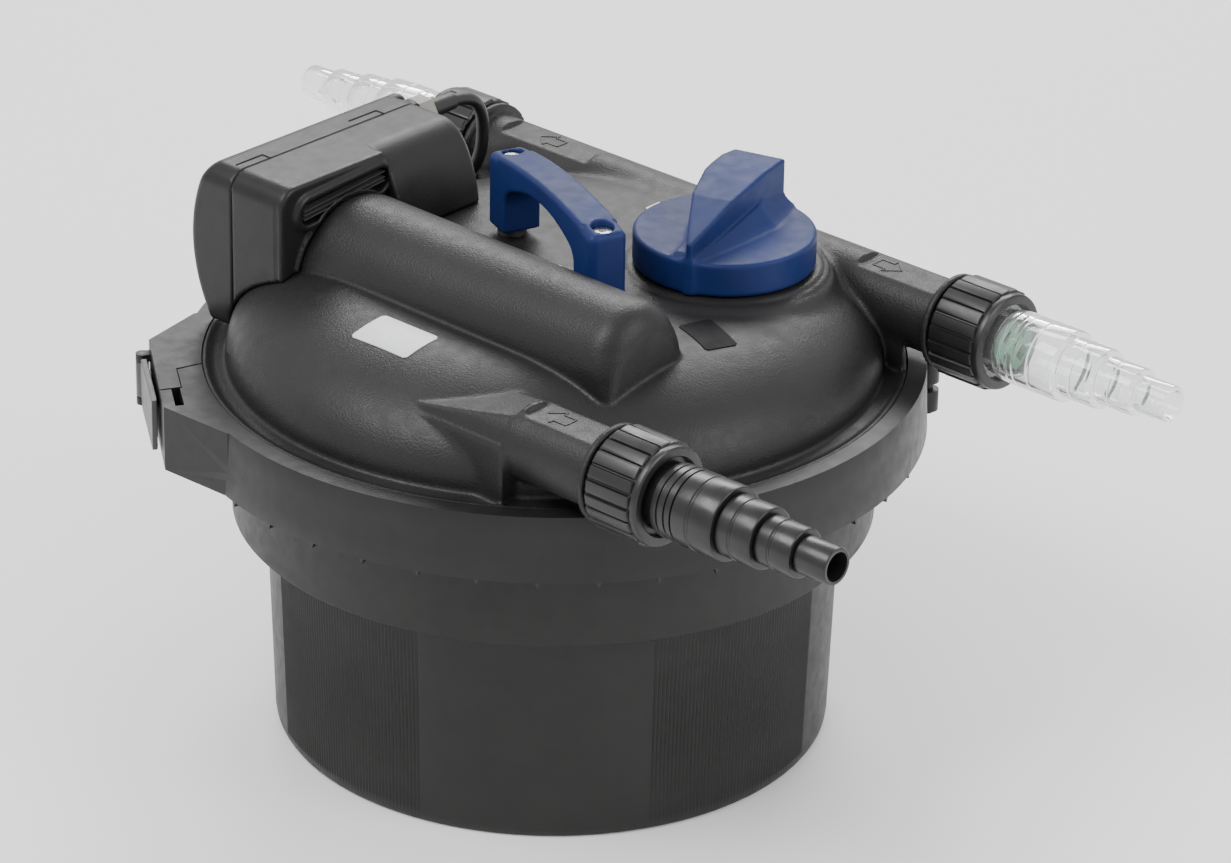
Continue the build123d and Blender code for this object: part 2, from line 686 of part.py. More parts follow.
def make_power_plug():
    """Round earthed two-pin plug lying beside the coil, in line with the coil's outer turn."""
    y = coil_y + tangent_r
    grip = Pos(plug_x + 13, y, plug_z) * Rot(0, 90, 0) * Cone(7, 15, 26)
    body = rod_x(plug_x + 26, plug_x + 44, y, plug_z, plug_z)
    pins = rod_x(plug_x + 44, plug_x + 62, y - 9.5, plug_z, 2.4)
    pins += rod_x(plug_x + 44, plug_x + 62, y + 9.5, plug_z, 2.4)
    return grip + body + pins


# Knob and valve --------------------------------------------------------------------------------

def make_mode_knob():
    centre = Pos(knob_x, knob_y, 0) * Rot(0, 0, pointer_deg)
    plate = disc(0, 0, knob_low_z, knob_top_z, knob_r)
    plate = fillet(plate.edges().group_by(Axis.Z)[-1], 1.5)
    leaf = prism([(knob_r + 0.5, -1.6), (knob_r + 0.5, 1.6), (10, 12), (-20, 17), (-42, 13),
                  (-44, 0), (-40, -15), (-15, -16), (12, -11)], knob_low_z, wing_back_z + 4)
    slope = (wing_back_z - wing_front_z) / (knob_r + 43)
    ramp = Plane.XZ * Polyline((knob_r + 2, wing_front_z), (knob_r + 2, wing_back_z + 9), (-60, wing_back_z + 9),
                               (-60, wing_back_z + 0.8), (-20, wing_back_z + 0.4),
                               (10, wing_front_z + slope * 52), close=True)
    leaf -= extrude(make_face(ramp), 40, both=True)
    wing = leaf - disc(0, 0, knob_low_z - 1, knob_top_z - 2, knob_r - 1)
    hollow = disc(0, 0, knob_low_z - 1, knob_top_z - 4, knob_r - 3)
    hub = disc(0, 0, knob_low_z, knob_top_z - 3, spindle_r + 4)
    bore = disc(0, 0, knob_low_z - 1, knob_top_z - 8, spindle_r)
    return centre * (plate - hollow + hub + wing - bore)


def make_spindle():
    return disc(knob_x, knob_y, 214, knob_top_z - 8, spindle_r)


def make_valve_rotor():
    rotor = disc(knob_x, knob_y, 208, 214, 34) - disc(knob_x, knob_y + 18, 207, 215, 12)
    return rotor + disc(knob_x, knob_y, 214, 224, spindle_r + 5) - disc(knob_x, knob_y, 213.9, 230, spindle_r)


def make_spindle_seal():
    seal = disc(knob_x, knob_y, boss_z - 3.4, boss_z - 0.3, spindle_r + 2.5)
    return seal - disc(knob_x, knob_y, boss_z - 4, boss_z, spindle_r + pin_clearance)


# Small surface pieces --------------------------------------------------------------------------

def plate_on_shoulder(x, y, length, width, turn, tilt):
    """Thin plate lying on the lid; tilt is its fall in degrees towards the lid's edge."""
    radius = math.hypot(x, y)
    over = max(radius - plateau_r, 0) / (dome_r - plateau_r)
    z = dome_foot_z + (plateau_z - dome_foot_z) * math.sqrt(1 - over ** 2)
    away = math.degrees(math.atan2(y, x))
    lean = Rot(0, 0, away) * Rot(0, tilt, 0) * Rot(0, 0, -away)
    return Pos(x, y, z + plate_lift) * lean * Rot(0, 0, turn) * Box(length, width, 0.6)


def make_type_plate():
    return plate_on_shoulder(-3.5, -113, 38, 24, 0, 7.2)


def make_mode_plate_front():
    return plate_on_shoulder(107, -4.5, 28, 18, -18, 4)


def make_mode_plate_rear():
    return plate_on_shoulder(-6, 94, 26, 12, 0, 0)


def make_lid_screw():
    screw = disc(0, 0, plateau_z, plateau_z + 1.2, 3) + disc(0, 0, plateau_z - 12, plateau_z, lid_screw_r)
    return screw


if __name__ == "__main__":
    save(make_tank(), "tank")
    save(make_lid_seal(), "lid_seal")
    save(make_lid(), "lid")
    ring = ring_blank()
    save(make_ring_front(ring), "clamp_ring_front")
    save(make_ring_rear(ring), "clamp_ring_rear")
    save(make_hinge_pin(), "clamp_hinge_pin")
    save(make_latch_lever(), "latch_lever")
    save(make_latch_pin(), "latch_pin")
    unions = (("outlet", 1, outlet_face_x, outlet_y), ("dirt_outlet", -1, outlet_face_x, outlet_y),
              ("inlet", 1, inlet_face_x, inlet_y))
    for name, side, face_x, y in unions:
        save(make_union_nut(side, face_x, y), name + "_nut")
        save(make_tail(side, face_x, y), name + "_tail")
        save(make_washer(side, face_x, y), name + "_washer")
    save(make_outlet_insert(), "outlet_insert")
    save(make_lift_handle(), "lift_handle")
    save(make_handle_screws(), "handle_screws")
    save(make_rods(), "lift_rods")
    save(make_guide_bushes(), "guide_bushes")
    save(make_press_plate(), "press_plate")
    save(make_rod_bolts(), "rod_bolts")
    save(make_top_plate(), "foam_top_plate")
    for index in range(foam_count):
        save(make_foam(index), f"foam_{index + 1}")
    save(make_core_tube(), "core_tube")
    housing, cap = make_head_parts()
    save(housing, "lamp_housing")
    save(cap, "lamp_cap")
    save(make_quartz_sleeve(), "quartz_sleeve")
    save(make_sleeve_flange(), "sleeve_flange")
    save(make_uv_lamp(), "uv_lamp")
    save(make_lamp_socket(), "lamp_socket")
    save(make_ballast(), "ballast")
    save(make_cable_gland(), "cable_gland")
    save(make_gland_nut(), "gland_nut")
    save(make_cable_boot(), "cable_boot")
    save(make_blanking_plug(), "blanking_plug")
    save(make_power_cable(), "power_cable")
    save(make_cable_coil(), "power_cable_coil")
    save(make_power_cable_end(), "power_cable_end")
    save(make_power_plug(), "power_plug")
    save(make_mode_knob(), "mode_knob")
    save(make_spindle(), "valve_spindle")
    save(make_valve_rotor(), "valve_rotor")
    save(make_spindle_seal(), "spindle_seal")
    save(make_lid_screw(), "lid_screw")
    save(make_type_plate(), "type_plate")
    save(make_mode_plate_front(), "mode_plate_front")
    save(make_mode_plate_rear(), "mode_plate_rear")
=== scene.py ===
import json
import math

import bpy
import numpy as np
from mathutils import Matrix, Vector


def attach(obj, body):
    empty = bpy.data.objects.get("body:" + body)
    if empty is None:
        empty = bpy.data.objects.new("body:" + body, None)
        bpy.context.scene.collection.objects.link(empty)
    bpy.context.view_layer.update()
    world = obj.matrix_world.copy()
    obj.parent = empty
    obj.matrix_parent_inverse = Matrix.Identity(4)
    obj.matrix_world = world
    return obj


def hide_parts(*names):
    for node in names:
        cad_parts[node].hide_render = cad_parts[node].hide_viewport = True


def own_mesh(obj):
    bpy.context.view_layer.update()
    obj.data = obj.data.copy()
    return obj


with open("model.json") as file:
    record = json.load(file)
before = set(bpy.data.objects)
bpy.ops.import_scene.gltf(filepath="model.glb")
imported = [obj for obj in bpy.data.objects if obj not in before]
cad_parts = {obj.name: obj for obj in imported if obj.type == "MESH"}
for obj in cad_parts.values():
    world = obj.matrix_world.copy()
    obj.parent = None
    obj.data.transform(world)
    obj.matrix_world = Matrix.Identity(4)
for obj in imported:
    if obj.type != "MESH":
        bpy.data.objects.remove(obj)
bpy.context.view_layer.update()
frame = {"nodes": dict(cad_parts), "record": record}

MM = 0.001
nodes = frame["nodes"]

# Sizes in millimetres and angles in radians, in the part's frame
DOME_R, DOME_FOOT, FLAT_R, FLAT_Z = 168.0, 205.0, 100.0, 249.0
LID_LOW, RIM_R = 184.3, 180.0
PIPE_R, PIPE_Z, OUTLET_Y, INLET_Y = 20.0, 230.5, 123.0, -124.5
OUTLET_X, INLET_X = 196.5, 190.0
KNOB_X, KNOB_Y, POINTER = 58.5, 62.5, math.radians(-71)
ROD_R, ROD_TURN = 52.2, math.radians(-21.4)
HEAD_TOP, HEAD_LOW, BOX_X, SEAM_X = 291.0, 205.5, -98.5, -135.0
LID_WALL, HEAD_WALL = 3.5, 2.6
TUNNEL_BACK, TUNNEL_END = -103, 115
BORE_R, BORE_END = 16, 150
PAD_Z = PIPE_Z + 17.3
COIL_X, COIL_Y, LEAD_D = -150, 222, 7


# Camera ----------------------------------------------------------------------------------------

def make_camera():
    data = bpy.data.cameras.new("camera")
    data.lens = 157.9
    data.sensor_width = 36
    data.clip_end = 20
    camera = bpy.data.objects.new("camera", data)
    place = Vector((1.6965, -1.8369, 1.3718))
    target = Vector((0.02345, 0.0211, 0.15789))
    turn = (target - place).to_track_quat("-Z", "Y").to_matrix().to_4x4()
    roll = Matrix.Rotation(math.radians(0.938), 4, "Z")
    camera.matrix_world = Matrix.Translation(place) @ turn @ roll
    bpy.context.collection.objects.link(camera)
    bpy.context.scene.camera = camera


make_camera()


# Node materials --------------------------------------------------------------------------------

def new_material(name):
    material = bpy.data.materials.new(name)
    material.use_nodes = True
    tree = material.node_tree
    return material, tree, tree.nodes["Principled BSDF"]


def noise(tree, coords, scale, detail):
    node = tree.nodes.new("ShaderNodeTexNoise")
    node.inputs["Scale"].default_value = scale
    node.inputs["Detail"].default_value = detail
    tree.links.new(coords, node.inputs["Vector"])
    return node.outputs["Fac"]


def spread(tree, value, low, high):
    """Maps the middle of a noise onto low to high."""
    node = tree.nodes.new("ShaderNodeMapRange")
    node.inputs["From Min"].default_value = 0.3
    node.inputs["From Max"].default_value = 0.7
    node.inputs["To Min"].default_value = low
    node.inputs["To Max"].default_value = high
    tree.links.new(value, node.inputs["Value"])
    return node.outputs["Result"]


def moulded(name, color, rough, grain=900, depth=0.00006, tint=0.18, gloss=0.5, coat=0.0, streak=None):
    """Moulded plastic or rubber: fine grain, cloudy colour and roughness, faint scuffs."""
    material, tree, shader = new_material(name)
    coords = tree.nodes.new("ShaderNodeTexCoord").outputs["Object"]
    if streak:
        stretch = tree.nodes.new("ShaderNodeMapping")
        stretch.inputs["Scale"].default_value = streak
        tree.links.new(coords, stretch.inputs["Vector"])
        coords = stretch.outputs["Vector"]
    fine = noise(tree, coords, grain, 3)
    cloud = noise(tree, coords, 22, 4)
    scuff = noise(tree, coords, 140, 6)
    mix = tree.nodes.new("ShaderNodeMix")
    mix.data_type = "RGBA"
    mix.inputs["A"].default_value = (*[c * (1 - tint) for c in color], 1)
    mix.inputs["B"].default_value = (*[min(1, c * (1 + tint)) for c in color], 1)
    tree.links.new(spread(tree, cloud, 0, 1), mix.inputs["Factor"])
    tree.links.new(mix.outputs["Result"], shader.inputs["Base Color"])
    tree.links.new(spread(tree, scuff, rough - 0.05, rough + 0.07), shader.inputs["Roughness"])
    bump = tree.nodes.new("ShaderNodeBump")
    bump.inputs["Strength"].default_value = 1.0
    bump.inputs["Distance"].default_value = depth
    tree.links.new(fine, bump.inputs["Height"])
    tree.links.new(bump.outputs["Normal"], shader.inputs["Normal"])
    shader.inputs["Specular IOR Level"].default_value = gloss
    shader.inputs["Coat Weight"].default_value = coat
    shader.inputs["Coat Roughness"].default_value = 0.12
    return material


def brushed(name, color, rough, streak):
    material = moulded(name, color, rough, grain=420, depth=0.00002, tint=0.08, streak=streak)
    material.node_tree.nodes["Principled BSDF"].inputs["Metallic"].default_value = 1.0
    return material


def clear(name, color, rough, ior, through=1.0, shine=0.0):
    material, tree, shader = new_material(name)
    coords = tree.nodes.new("ShaderNodeTexCoord").outputs["Object"]
    shader.inputs["Base Color"].default_value = (*color, 1)
    shader.inputs["Transmission Weight"].default_value = through
    shader.inputs["IOR"].default_value = ior
    shader.inputs["Coat Weight"].default_value = shine
    shader.inputs["Coat Roughness"].default_value = 0.06
    haze = noise(tree, coords, 60, 4)
    tree.links.new(spread(tree, haze, rough, rough + 0.05), shader.inputs["Roughness"])
    bump = tree.nodes.new("ShaderNodeBump")
    bump.inputs["Distance"].default_value = 0.00008
    tree.links.new(noise(tree, coords, 160, 3), bump.inputs["Height"])
    tree.links.new(bump.outputs["Normal"], shader.inputs["Normal"])
    return material


mats = {
    "vessel_black": moulded("vessel_black", (0.0125, 0.012, 0.0116), 0.44, grain=700, depth=0.00003,
                            gloss=0.3),
    "lid_black": moulded("lid_black", (0.0125, 0.012, 0.012), 0.42, grain=900, depth=0.00024, gloss=0.3),
    "ring_black": moulded("ring_black", (0.011, 0.0106, 0.0104), 0.42, grain=600, depth=0.00003, gloss=0.3),
    "nut_black": moulded("nut_black", (0.0085, 0.0085, 0.0085), 0.34, grain=500, depth=0.00003, gloss=0.45),
    "tail_black": moulded("tail_black", (0.0085, 0.0085, 0.0085), 0.3, grain=500, depth=0.00003,
                          gloss=0.45),
    "head_black": moulded("head_black", (0.0125, 0.012, 0.012), 0.36, grain=1100, depth=0.0001, gloss=0.26),
    "grey_fin": moulded("grey_fin", (0.05, 0.05, 0.05), 0.4, grain=500, depth=0.00003, gloss=0.5),
    "steel": brushed("steel", (0.62, 0.61, 0.59), 0.28, (1, 1, 12)),
    "latch_grey": moulded("latch_grey", (0.05, 0.05, 0.054), 0.42, grain=600, depth=0.00003),
    "navy_plastic": moulded("navy_plastic", (0.0085, 0.019, 0.088), 0.46, grain=420, depth=0.00002,
                            gloss=0.16),
    "clear_plastic": clear("clear_plastic", (0.94, 0.945, 0.95), 0.04, 1.13, 0.93, 0.8),
    "clear_glass": clear("clear_glass", (0.95, 0.97, 0.98), 0.02, 1.46),
    "green_plastic": moulded("green_plastic", (0.07, 0.30, 0.16), 0.42, grain=500, depth=0.00003),
    "seal_rubber": moulded("seal_rubber", (0.006, 0.006, 0.006), 0.8, gloss=0.15),
    "inner_plastic": moulded("inner_plastic", (0.05, 0.05, 0.053), 0.5),
    "foam": moulded("foam", (0.02, 0.05, 0.17), 0.9, grain=260, depth=0.0012, tint=0.4),
    "grey_plastic": moulded("grey_plastic", (0.26, 0.24, 0.22), 0.5, grain=500, depth=0.00003),
    "cable_black": moulded("cable_black", (0.008, 0.008, 0.008), 0.46, grain=500, depth=0.00004),
    "plate_film": moulded("plate_film", (0.56, 0.57, 0.58), 0.34, grain=300, depth=0.00002, tint=0.05),
    "plate_dark": moulded("plate_dark", (0.004, 0.004, 0.0043), 0.6, grain=300, depth=0.00002, gloss=0.12),
}


# Meshing ---------------------------------------------------------------------------------------

def finish_piece(name, verts, faces, body, slot, replaced=(), material=None, smooth=True):
    mesh = bpy.data.meshes.new(name)
    mesh.from_pydata([tuple(v) for v in np.asarray(verts) * MM], [], faces)
    mesh.validate()
    mesh.materials.append(mats[material or slot])
    if smooth:
        mesh.shade_smooth()
    piece = bpy.data.objects.new(name, mesh)
    bpy.context.collection.objects.link(piece)
    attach(piece, body)
    if replaced:
        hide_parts(*replaced)
    return piece


def surface_nets(field, low, high, step):
    """Corners and quads of the surface where field is 0, in millimetres."""
    axes = [np.arange(a, b + step, step) for a, b in zip(low, high)]
    values = field(*np.meshgrid(*axes, indexing="ij"))
    inside = values < 0
    cells = tuple(n - 1 for n in values.shape)
    total = np.zeros((cells[0] * cells[1] * cells[2], 3))
    count = np.zeros(len(total))
    quads = []
    for axis in range(3):
        ahead = [slice(None)] * 3
        behind = [slice(None)] * 3
        ahead[axis] = slice(1, None)
        behind[axis] = slice(None, -1)
        cross = np.argwhere(inside[tuple(behind)] != inside[tuple(ahead)])
        others = [a for a in range(3) if a != axis]
        keep = np.all([(cross[:, a] > 0) & (cross[:, a] < cells[a]) for a in others], axis=0)
        cross = cross[keep]
        first = values[tuple(cross.T)]
        beyond = cross.copy()
        beyond[:, axis] += 1
        share = first / (first - values[tuple(beyond.T)])
        point = np.stack([axes[a][cross[:, a]] for a in range(3)], axis=1)
        point[:, axis] += share * step
        corners = []
        for da, db in ((0, 0), (1, 0), (1, 1), (0, 1)):
            cell = cross.copy()
            cell[:, others[0]] -= da
            cell[:, others[1]] -= db
            index = np.ravel_multi_index(tuple(cell.T), cells)
            corners.append(index)
            np.add.at(total, index, point)
            np.add.at(count, index, 1)
        quad = np.stack(corners, axis=1)
        flip = (first < 0) == (axis != 1)
        quad[flip] = quad[flip][:, ::-1]
        quads.append(quad)
    quads = np.concatenate(quads)
    used, quads = np.unique(quads, return_inverse=True)
    verts = total[used] / count[used][:, None]
    return settle(field, verts, step), quads.reshape(-1, 4).tolist()


def settle(field, verts, step):
    """Moves the corners onto the surface along the field's slope."""
    for _ in range(3):
        here = field(*verts.T)
        gap = 0.05
        slope = np.stack([(field(*(verts + gap * np.eye(3)[a]).T) - here) / gap for a in range(3)], axis=1)
        size = np.maximum((slope ** 2).sum(axis=1), 0.2)
        move = -here / size
        verts = verts + np.clip(move[:, None] * slope, -step / 2, step / 2)
    return verts


def smin(a, b, k):
    h = np.clip(0.5 + 0.5 * (b - a) / k, 0, 1)
    return b + (a - b) * h - k * h * (1 - h)


def smax(a, b, k):
    return -smin(-a, -b, k)


def round_and(a, b, radius):
    """Intersection with a rounded edge."""
    beyond = np.hypot(np.maximum(a + radius, 0), np.maximum(b + radius, 0))
    return np.minimum(np.maximum(a, b), -radius) + beyond


def box_field(x, y, z, low, high, radius):
    mid = [(a + b) / 2 for a, b in zip(low, high)]
    half = [(b - a) / 2 - radius for a, b in zip(low, high)]
    q = [np.abs(v - m) - h for v, m, h in zip((x, y, z), mid, half)]
    out = np.sqrt(sum(np.maximum(v, 0) ** 2 for v in q))
    return out + np.minimum(np.maximum(np.maximum(q[0], q[1]), q[2]), 0) - radius


def ellipse_field(across, up, width, height):
    """Distance to a quarter ellipse, level or upright beyond its ends."""
    q = np.maximum(across, 0) / width
    s = np.maximum(up, 0) / height
    k = np.hypot(q, s) + 1e-6
    return (k - 1) / np.maximum(np.hypot(q / width, s / height) / k, 0.5 / max(width, height))


def polygon_field(x, y, points):
    """Signed distance to a closed polygon."""
    best = np.full(x.shape, 1e9)
    inside = np.zeros(x.shape, bool)
    for (ax, ay), (bx, by) in zip(points, points[1:] + points[:1]):
        ex, ey = bx - ax, by - ay
        along = np.clip(((x - ax) * ex + (y - ay) * ey) / (ex * ex + ey * ey), 0, 1)
        best = np.minimum(best, np.hypot(x - ax - along * ex, y - ay - along * ey))
        if ay != by:
            crosses = (ay > y) != (by > y)
            inside ^= crosses & (x < (bx - ax) * (y - ay) / (by - ay) + ax)
    return np.where(inside, -best, best)


# Lid -------------------------------------------------------------------------------------------

def tunnel_field(x, y, z):
    share = (x - BOX_X) / (TUNNEL_END - BOX_X)
    arch = np.hypot(y + 49.5 + 8.5 * share, np.maximum(z - 240 - 12 * share, 0)) - 37 + 7.5 * share
    end = np.maximum(x - TUNNEL_END, TUNNEL_BACK - x)
    return round_and(arch, end, np.interp(z, [236, 264], [4.5, 15]))


def spigot_field(x, y, z, side, face, axis_y):
    out = np.hypot(y - axis_y, z - PIPE_Z)
    along = side * x - face
    neck = np.maximum(out - 20.6, np.abs(along + 33) - 5)
    collar = round_and(out - 25.4, np.abs(along + 35.7) - 1.8, 0.6)
    thread = round_and(out - 23, np.abs(along + 21.5) - 9.5, 0.5)
    return np.minimum(np.minimum(neck, collar), thread)


def lid_outside(x, y, z):
    r = np.hypot(x, y)
    body = ellipse_field(r - FLAT_R, z - DOME_FOOT, DOME_R - FLAT_R, FLAT_Z - DOME_FOOT)
    top = np.interp(r, [160, 169, 175, 178.3, 180], [204.8, 202.3, 201.3, 203.3, 203.3])
    rim = smax(r - RIM_R, z - top, 0.8)
    flange = smax(r - 185, z - 199, 0.8)
    body = smin(body, np.minimum(rim, flange), 1.6)
    out = np.hypot(x - KNOB_X, y - KNOB_Y)
    body = smin(body, round_and(out - 56, z - 247.6, 3), 9)
    body = smin(body, round_and(out - 53.6, z - 249.9, 1.2), 0.6)
    body = smin(body, round_and(out - 50.5, z - 251.6, 1.2), 0.6)
    body = smin(body, tunnel_field(x, y, z), 1.2)
    pipe = np.hypot(y - OUTLET_Y, z - PIPE_Z) - PIPE_R
    body = smin(body, np.maximum(pipe, np.abs(x) - (OUTLET_X - 32)), 5)
    pipe = np.hypot(y - INLET_Y, z - PIPE_Z) - PIPE_R
    start = round_and(pipe, z - 235 - 0.171 * (x - 29), 1)
    body = smin(body, np.maximum(start, x - 108), 0.8)
    body = smin(body, np.maximum(pipe, np.maximum(100 - x, x - (INLET_X - 32))), 1)
    webs = box_field(x, y, z, (20, INLET_Y - 21, 195), (100, INLET_Y + 15, PIPE_Z + 3), 0.6)
    for low, high in ((108, 146), (-146, -108)):
        webs = np.minimum(webs, box_field(x, y, z, (low, OUTLET_Y - 17, 195), (high, OUTLET_Y, PIPE_Z), 1))
    body = smin(body, np.maximum(webs, r - 178), 2)
    for low, high, axis_y in ((104, 155, INLET_Y), (104, 155, OUTLET_Y), (-146, -84, OUTLET_Y)):
        pad = box_field(x, y, z, (low, axis_y - 10, PAD_Z), (high, axis_y + 10, 270), 0.6)
        body = smax(body, -pad, 0.8)
    body = np.minimum(body, spigot_field(x, y, z, 1, OUTLET_X, OUTLET_Y))
    body = np.minimum(body, spigot_field(x, y, z, -1, OUTLET_X, OUTLET_Y))
    body = np.minimum(body, spigot_field(x, y, z, 1, INLET_X, INLET_Y))
    along = x * math.cos(ROD_TURN) + y * math.sin(ROD_TURN)
    across = y * math.cos(ROD_TURN) - x * math.sin(ROD_TURN)
    room = box_field(along, across, z, (ROD_R - 13, -11.5, FLAT_Z), (ROD_R + 13, 11.5, 340), 2)
    return smax(body, -room, 1)


def lid_field(x, y, z):
    outer = lid_outside(x, y, z)
    shell = np.maximum(outer, -outer - LID_WALL)
    shell = np.maximum(shell, LID_LOW - z)
    for axis_y in (OUTLET_Y, INLET_Y):
        bore = np.hypot(y - axis_y, z - PIPE_Z) - BORE_R
        shell = np.maximum(shell, -np.maximum(bore, BORE_END - np.abs(x)))
    for side in (-1, 1):
        hole = np.hypot(x - side * ROD_R * math.cos(ROD_TURN), y - side * ROD_R * math.sin(ROD_TURN)) - 6.5
        shell = np.maximum(shell, -hole)
    hole = np.hypot(x - KNOB_X, y - KNOB_Y) - 8.5
    return np.maximum(shell, -np.maximum(hole, 240 - z))


def make_lid():
    verts, faces = surface_nets(lid_field, (-190, -188, 180), (190, 188, 286), 1.6)
    finish_piece("lid_shell", verts, faces, "vessel", "lid_black", ("lid",))


# Lamp head -------------------------------------------------------------------------------------

def slot_out(y, z):
    """Distance from the middle line of the finned slot in the head's inner face."""
    return np.hypot(y - np.clip(y, -79, -29), z - 276.6 - 0.055 * (y + 51))


def head_outside(x, y, z):
    left = np.hypot(x + 84.4, z - 248.7) - 81.6
    left = np.where(x > -84.4, -60.0, left)
    crest = round_and(z - HEAD_TOP, -98 - y, 11)
    front = round_and(round_and(left, crest, 4), x - BOX_X, 2.4)
    front = round_and(front, y + 23, 1)
    hood = ellipse_field(x + 113, z - 239, 27.5, HEAD_TOP - 239)
    rear = round_and(round_and(left, hood, 4), y - 36.5, 5)
    rear = np.maximum(rear, -30 - y)
    rear = np.maximum(rear, np.where(x > BOX_X - 3, -23 - y, -999))
    body = np.minimum(front, rear)
    body = np.maximum(body, HEAD_LOW - z)
    slot = slot_out(y, z)
    bezel = round_and(slot - 11 + 0.9 * (x - BOX_X), x - BOX_X - 2.4, 0.8)
    bezel = np.maximum(np.maximum(bezel, BOX_X - 6 - x), np.maximum(z - HEAD_TOP + 1.4, y + 22.6))
    body = smin(body, bezel, 0.6)
    body = smax(body, -np.maximum(slot - 6.4, BOX_X - 5 - x), 0.8)
    body = smax(body, -np.maximum(np.abs(x - BOX_X + 4) - 0.5, y + 97.2), 0.5)
    collar = round_and(tunnel_field(x, y, z) - 3.2, x - BOX_X - 1.8, 0.8)
    body = smin(body, np.maximum(collar, BOX_X - 4 - x), 0.5)
    boss = round_and(np.hypot(x + 140, z - 280.5) - 9.5, y - 39.5, 1)
    return smin(body, np.maximum(boss, 20 - y), 1.5)


def head_field(x, y, z):
    body = head_outside(x, y, z)
    body = np.maximum(body, -lid_outside(x, y, z) + 0.35)
    return np.maximum(body, -body - HEAD_WALL)


def strip(points, width, height):
    """Corners and faces of a bar of square section along each pair of points."""
    verts, faces = [], []
    for a, b in points:
        a, b = Vector(a), Vector(b)
        ahead = (b - a).normalized()
        aside = ahead.cross(Vector((0, 0, 1))).normalized() * width / 2
        rise = aside.cross(ahead).normalized() * height / 2
        first = len(verts)
        for end in (a, b):
            verts += [end - aside - rise, end + aside - rise, end + aside + rise, end - aside + rise]
        ring = [(0, 1, 5, 4), (1, 2, 6, 5), (2, 3, 7, 6), (3, 0, 4, 7), (3, 2, 1, 0), (4, 5, 6, 7)]
        faces += [tuple(first + i for i in face) for face in ring]
    return verts, faces


def make_head_details():
    """Dark strips painting the shade in the clip slots on top of the head, and the thin fins in its slot.
    """
    slots = []
    for low_y, high_y in ((-88, -69.5), (-7, 13)):
        slots += [((-141, low_y, HEAD_TOP), (-141, high_y, HEAD_TOP)),
                  ((-141.4, high_y, HEAD_TOP), (-135.5, high_y, HEAD_TOP))]
    # Painted shade: each clip slot is a thin near-black strip on the surface, standing in for the shade
    # inside the slot.
    verts, faces = strip(slots, 1.0, 0.5)
    finish_piece("head_clip_slot_shade", verts, faces, "vessel", "seal_rubber", smooth=False)
    fins = []
    for low_z, high_z in ((272.0, 276.6), (274.4, 278.4), (276.6, 281.6)):
        fins.append(((BOX_X - 0.6, -83, low_z), (BOX_X - 0.6, -25, high_z)))
    verts, faces = strip(fins, 4.2, 0.55)
    finish_piece("head_slot_fins", verts, faces, "vessel", "lid_black", (), "grey_fin", smooth=False)


def surface_z(x, y):
    """Height of the lid's outside over plan points."""
    z = np.full(x.shape, 285.0)
    for _ in range(60):
        z -= np.maximum(lid_outside(x, y, z), 0) * 0.8
    return z


def make_plate(name, x, y, length, width, turn, slot):
    """Thin film that follows the lid's surface."""
    across, along = 25, 17
    corner = 1.6
    verts = []
    u = np.linspace(-1, 1, across)
    v = np.linspace(-1, 1, along)
    gu, gv = [g.ravel() for g in np.meshgrid(u, v, indexing="ij")]
    px, py = gu * length / 2, gv * width / 2
    pinch = (np.abs(gu) == 1) & (np.abs(gv) == 1)
    px = np.where(pinch, px * (1 - corner / length), px)
    py = np.where(pinch, py * (1 - corner / width), py)
    wx = x + px * math.cos(turn) - py * math.sin(turn)
    wy = y + px * math.sin(turn) + py * math.cos(turn)
    base = surface_z(wx, wy)
    for lift in (0.45, -0.6):
        verts += [(a, b, c + lift) for a, b, c in zip(wx, wy, base)]
    count = across * along
    faces = []
    for i in range(across - 1):
        for j in range(along - 1):
            a = i * along + j
            faces.append((a, a + along, a + along + 1, a + 1))
            faces.append((count + a + 1, count + a + along + 1, count + a + along, count + a))
    rim = [i * along for i in range(across)] + [(across - 1) * along + j for j in range(1, along)]
    rim += [i * along + along - 1 for i in range(across - 2, -1, -1)] + list(range(along - 2, 0, -1))
    for a, b in zip(rim, rim[1:] + rim[:1]):
        faces.append((b, a, count + a, count + b))
    piece = finish_piece(name + "_film", verts, faces, "vessel", slot, (name,))
    crisp(piece, 40)


def make_head():
    for name, side in (("lamp_housing", 1), ("lamp_cap", -1)):
        def half(x, y, z):
            return smax(head_field(x, y, z), 0.03 - side * (x - SEAM_X), 0.2)
        low_x, high_x = (SEAM_X - 3, -80) if side > 0 else (-170, SEAM_X + 3)
        verts, faces = surface_nets(half, (low_x, -102, 203), (high_x, 43, 295), 1.25)
        finish_piece(name + "_shell", verts, faces, "vessel", "lid_black", (name,), "head_black")


# Knob and handle -------------------------------------------------------------------------------

def knob_field(x, y, z):
    along = (x - KNOB_X) * math.cos(POINTER) + (y - KNOB_Y) * math.sin(POINTER)
    across = (y - KNOB_Y) * math.cos(POINTER) - (x - KNOB_X) * math.sin(POINTER)
    disc = round_and(np.hypot(along, across) - 46.8, np.abs(z - 261.1) - 8.9, 2)
    leaf = [(47.4, -1.4), (47.4, 1.4), (36, 3.6), (-40, 16.3), (-41.5, -12), (-33, -16), (-15, -18),
            (8, -15), (28, -8.5)]
    top = np.interp(along, [-42, -22, 10, 47.3], [296, 295, 290, 280])
    wing = round_and(polygon_field(along, across, leaf), z - top, 1.2)
    fold = np.interp(along, [-40, 47], [285, 270.5])
    flank = np.interp(along, [-40, -12, 12, 47], [20, 21, 14, 1.5]) - 0.75 * np.maximum(z - 271, 0)
    low = np.maximum(np.maximum(across - flank, -across - 9), np.maximum(z - fold, np.abs(along) - 41))
    knob = smin(disc, smin(wing, low, 1.2), 5)
    return np.maximum(knob, 252.2 - z)


